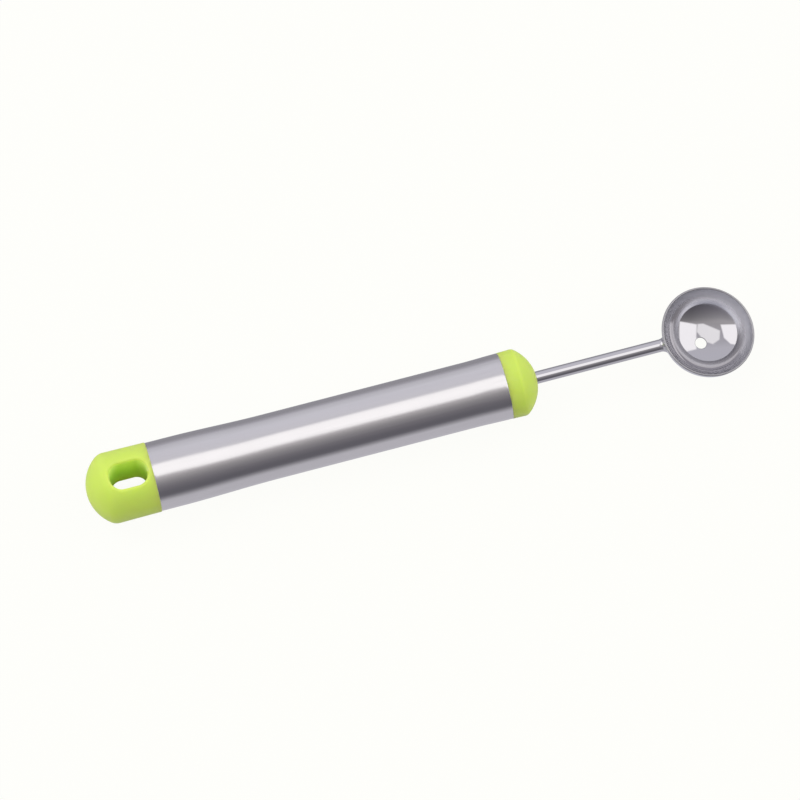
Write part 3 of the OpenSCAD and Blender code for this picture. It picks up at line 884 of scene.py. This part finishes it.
# Softboxes: name, brightness and corners in degrees across and up from the picture's axis
PANELS = (
    ("right softbox", 1.5, ((31, -2), (75, -11), (75, 66), (34, 53))),
    ("left softbox", 1.5, ((-75, -8), (-22, -3), (-29, 27), (-46, 42), (-75, 48))),
    ("overhead softbox", 1.3, ((-20, 11), (17, -4), (29, -3), (31, 14), (14, 35), (-3, 41), (-18, 31))),
)
PANEL_TINT = (1.0, 0.985, 0.99)
PANEL_SOFT = 1.5

# Colour of the room round the softboxes, by degrees up from the picture's axis
ROOM = (
    (-90, (0.16, 0.155, 0.18)),
    (-55, (0.17, 0.165, 0.19)),
    (-42, (0.21, 0.20, 0.225)),
    (-30, (0.27, 0.26, 0.28)),
    (-20, (0.34, 0.33, 0.345)),
    (-8, (0.50, 0.48, 0.49)),
    (3, (0.56, 0.54, 0.56)),
    (36, (0.64, 0.63, 0.68)),
    (50, (0.74, 0.73, 0.79)),
    (68, (0.74, 0.73, 0.80)),
    (80, (0.74, 0.735, 0.80)),
    (100, (0.63, 0.625, 0.68)),
)

# The room's lower part is brighter on the left and darker on the right: degrees across and the two shades,
# and the degrees up between which this comes in
SIDE_SHADE = (-25.0, 45.0, 1.25, 0.72)
SHADE_COMES_IN = (-4.0, -12.0)

# Painted light and shade on the floor, seen only in shiny pieces, where the floor glows in these greys
# instead of
# being lit: by y / (|y| + FLOOR_BEND), 0 under the handle and 1 far behind it. The darker greys just behind
# the object are a painted shadow of it, and the dark far in front is painted shade
FLOOR_PAINTED_GREYS = (
    (-0.91, (0.17, 0.165, 0.19)),
    (-0.71, (0.20, 0.195, 0.22)),
    (-0.54, (0.30, 0.295, 0.325)),
    (-0.40, (0.45, 0.445, 0.48)),
    (-0.31, (0.60, 0.59, 0.64)),
    (-0.10, (0.58, 0.57, 0.62)),
    (0.20, (0.34, 0.335, 0.37)),
    (0.37, (0.35, 0.345, 0.38)),
    (0.62, (0.47, 0.46, 0.51)),
    (0.90, (0.57, 0.56, 0.62)),
)
FLOOR_BEND = 0.1

# Soft lamps: name, the stage's power for it and its place
LAMPS = (
    ("key", "key_power", (-0.9, 0.9, 1.8)),
    ("front fill", "fill_power", (1.6, -0.4, 0.7)),
    ("rear fill", "fill_power", (-1.6, -0.4, 0.7)),
)
LAMP_SIZE = 1.2

PICTURE_WIDTH = 800
CLIP_START, CLIP_END = 0.05, 100.0


def colour_ramp(sheet, factor, stops, low, high):
    """A colour ramp over the given stops, with places between low and high."""
    ramp = sheet.add("ShaderNodeValToRGB", {"Fac": sheet.ranged(factor, low, high)})
    marks = ramp.color_ramp.elements
    marks.remove(marks[1])
    marks[0].position = (stops[0][0] - low) / (high - low)
    marks[0].color = (*stops[0][1], 1)
    for place, color in stops[1:]:
        marks.new((place - low) / (high - low)).color = (*color, 1)
    return ramp.outputs["Color"]


def panel_mask(sheet, across, up, corners, soft):
    """1 inside a convex panel and 0 outside, with soft edges: the least of the distances inside its sides."""
    inside = None
    for (x0, y0), (x1, y1) in zip(corners, (*corners[1:], corners[0])):
        size = math.hypot(x1 - x0, y1 - y0)
        nx, ny = (y0 - y1) / size, (x1 - x0) / size
        offset = sheet.math("MULTIPLY_ADD", up, ny, -(nx * x0 + ny * y0))
        reach = sheet.math("MULTIPLY_ADD", across, nx, offset)
        inside = reach if inside is None else sheet.math("MINIMUM", inside, reach)
    return sheet.ranged(inside, -soft, soft)


def camera_basis(stage):
    """Right, up and back directions of the camera, and the direction above the handle in the picture.

    Back leans from straight above by the lean towards the handle's rear and by the roll towards -Y. Right
    and up are turned about it so that the handle climbs by its slope in the picture.
    """
    lean, roll = stage.lean, stage.roll
    back = np.array([-math.sin(lean), -math.sin(roll) * math.cos(lean), math.cos(roll) * math.cos(lean)])
    handle = np.array([1.0, 0.0, 0.0])
    along = handle - handle.dot(back) * back
    along /= np.linalg.norm(along)
    over = np.cross(back, along)
    c, k = math.cos(stage.handle_slope), math.sin(stage.handle_slope)
    return c * along - k * over, k * along + c * over, back, over


def picture_degrees(sheet, stage):
    """Degrees across and up of a ray: its angle from the picture's axis times its share each way."""
    way = sheet.add("ShaderNodeTexCoord").outputs["Generated"]
    right, up, back = (
        sheet.add("ShaderNodeVectorMath", {0: way, 1: tuple(axis)}, operation="DOT_PRODUCT").outputs["Value"]
        for axis in camera_basis(stage)[:3]
    )
    off_axis = sheet.math("MULTIPLY", sheet.math("ARCCOSINE", back), 180 / math.pi)
    square = sheet.math("ADD", sheet.math("POWER", right, 2.0), sheet.math("POWER", up, 2.0))
    scale = sheet.math("DIVIDE", off_axis, sheet.math("MAXIMUM", sheet.math("SQRT", square), 1e-4))
    return sheet.math("MULTIPLY", right, scale), sheet.math("MULTIPLY", up, scale)


def studio_color(sheet, stage):
    """Colour of the studio in a direction: the room by its height, its two sides and the softboxes."""
    across, rise = picture_degrees(sheet, stage)
    color = colour_ramp(sheet, rise, ROOM, -180.0, 180.0)
    side = sheet.ranged(across, *SIDE_SHADE)
    below = sheet.ranged(rise, *SHADE_COMES_IN)
    shade = sheet.math("ADD", 1.0, sheet.math("MULTIPLY", below, sheet.math("SUBTRACT", side, 1.0)))
    grey = sheet.add("ShaderNodeCombineXYZ", {0: shade, 1: shade, 2: shade}).outputs[0]
    color = sheet.mix(1.0, color, grey, "MULTIPLY")
    for _, level, corners in PANELS:
        mask = panel_mask(sheet, across, rise, corners, PANEL_SOFT)
        color = sheet.mix(mask, color, (*(level * part for part in PANEL_TINT), 1))
    return color


def world_light(scene, stage):
    """A studio: a pale wall behind the object, a dark room in front of it, and plain white for the camera."""
    world = bpy.data.worlds.new("studio")
    scene.world = world
    world.use_nodes = True
    world.node_tree.nodes.clear()
    sheet = NodeSheet(world.node_tree)
    path = sheet.add("ShaderNodeLightPath")
    seen = sheet.mix(path.outputs["Is Camera Ray"], studio_color(sheet, stage), WHITE)
    background = sheet.add("ShaderNodeBackground", {"Color": seen}).outputs["Background"]
    sheet.add("ShaderNodeOutputWorld", {"Surface": background})


def floor_material(stage):
    """Pale matt floor, lifted to white where the camera sees it, so that only a faint shadow stays.

    Shiny pieces see it glow in painted greys instead of being lit: pale just in front of the object and far
    behind it, darker in between as a painted shadow of the object, and dark far in front as painted shade.
    """
    material, sheet, surface = empty_material("pale floor")
    path = sheet.add("ShaderNodeLightPath").outputs
    y = sheet.add("ShaderNodeSeparateXYZ", {0: sheet.place()}).outputs["Y"]
    far = sheet.math("DIVIDE", y, sheet.math("ADD", sheet.math("ABSOLUTE", y), FLOOR_BEND))
    painted_greys = colour_ramp(sheet, far, FLOOR_PAINTED_GREYS, -1.0, 1.0)
    shade = stage.floor_shade
    matt = sheet.add("ShaderNodeBsdfDiffuse", {"Color": (shade, shade, shade, 1)}).outputs[0]
    white = sheet.add("ShaderNodeEmission", {"Color": WHITE}).outputs[0]
    # The floor glows in painted greys for glossy rays: a painted shadow just behind the object and painted
    # shade far in front
    grey = sheet.add("ShaderNodeEmission", {"Color": painted_greys}).outputs[0]
    lift = sheet.math("MULTIPLY", path["Is Camera Ray"], stage.floor_lift)
    seen = sheet.add("ShaderNodeMixShader", {0: lift, 1: matt, 2: white}).outputs[0]
    both = sheet.add("ShaderNodeMixShader", {0: path["Is Glossy Ray"], 1: seen, 2: grey}).outputs[0]
    sheet.put(surface, both)
    return material


def lay_floor(scene, stage):
    """A square floor at the height of the table."""
    size = stage.floor_size
    mesh = bpy.data.meshes.new("floor")
    corners = [(-size, -size, 0), (size, -size, 0), (size, size, 0), (-size, size, 0)]
    mesh.from_pydata(corners, [], [(0, 1, 2, 3)])
    mesh.materials.append(floor_material(stage))
    floor = bpy.data.objects.new("floor", mesh)
    scene.collection.objects.link(floor)


def hang_lamp(scene, name, power, place):
    """A large round lamp that faces the object and isn't mirrored in it."""
    lamp = bpy.data.lights.new(name, "AREA")
    lamp.shape = "DISK"
    lamp.size = LAMP_SIZE
    lamp.energy = power
    body = bpy.data.objects.new(name, lamp)
    spot = Vector(place)
    body.matrix_world = Matrix.Translation(spot) @ spot.to_track_quat("Z", "Y").to_matrix().to_4x4()
    body.visible_glossy = False
    body.visible_camera = False
    scene.collection.objects.link(body)


def set_camera(scene, stage):
    """A camera along back from the picture's centre, whose lens gives a pixel its size there."""
    right, up, back, over = camera_basis(stage)
    aim = np.array([CAD_BOX[0].x + stage.aim_along, 0.0, AXIS_Z]) + stage.aim_up * over
    camera = bpy.data.cameras.new("camera")
    camera.lens = camera.sensor_width * stage.distance / (stage.pixel * PICTURE_WIDTH)
    camera.clip_start = CLIP_START
    camera.clip_end = CLIP_END
    body = bpy.data.objects.new("camera", camera)
    axes = np.stack([right, up, back, aim + back * stage.distance], axis=1)
    body.matrix_world = Matrix([*axes.tolist(), [0, 0, 0, 1]])
    scene.collection.objects.link(body)
    scene.camera = body


class MELON_BALLER_OT_stage(bpy.types.Operator):
    """Makes the floor, the light and the camera"""

    bl_idname = "melon_baller.stage"
    bl_label = "Stage"

    def execute(self, context):
        scene, stage = context.scene, context.scene.baller_stage
        lay_floor(scene, stage)
        world_light(scene, stage)
        for name, power, place in LAMPS:
            hang_lamp(scene, name, getattr(stage, power), place)
        set_camera(scene, stage)
        scene.view_settings.view_transform = "Standard"
        return {"FINISHED"}


OPERATORS = (
    MELON_BALLER_OT_scoop_bowl,
    MELON_BALLER_OT_bowl_weld,
    MELON_BALLER_OT_rod,
    MELON_BALLER_OT_caps,
    MELON_BALLER_OT_tube,
    MELON_BALLER_OT_stage,
)

GROUPS = {
    "baller_sizes": MelonBallerSizes,
    "baller_looks": MelonBallerLooks,
    "baller_stage": MelonBallerStage,
}


class VIEW3D_PT_melon_baller(bpy.types.Panel):
    """Lists the steps and the properties"""

    bl_label = "Melon baller"
    bl_space_type = "VIEW_3D"
    bl_region_type = "UI"
    bl_category = "Melon baller"

    def draw(self, context):
        for step in OPERATORS:
            self.layout.operator(step.bl_idname)
        for name, group in GROUPS.items():
            box = self.layout.box()
            for key in group.__annotations__:
                box.prop(getattr(context.scene, name), key)


def register():
    """Registers the property groups, the operators and the panel."""
    for name, group in GROUPS.items():
        bpy.utils.register_class(group)
        setattr(bpy.types.Scene, name, PointerProperty(type=group))
    for item in (*OPERATORS, VIEW3D_PT_melon_baller):
        bpy.utils.register_class(item)


def unregister():
    """Takes back what register did."""
    for item in (VIEW3D_PT_melon_baller, *reversed(OPERATORS)):
        bpy.utils.unregister_class(item)
    for name, group in GROUPS.items():
        delattr(bpy.types.Scene, name)
        bpy.utils.unregister_class(group)


def main():
    """Makes every piece and the stage."""
    register()
    for step in OPERATORS:
        group, name = step.bl_idname.split(".")
        getattr(getattr(bpy.ops, group), name)()


if __name__ == "__main__":
    main()
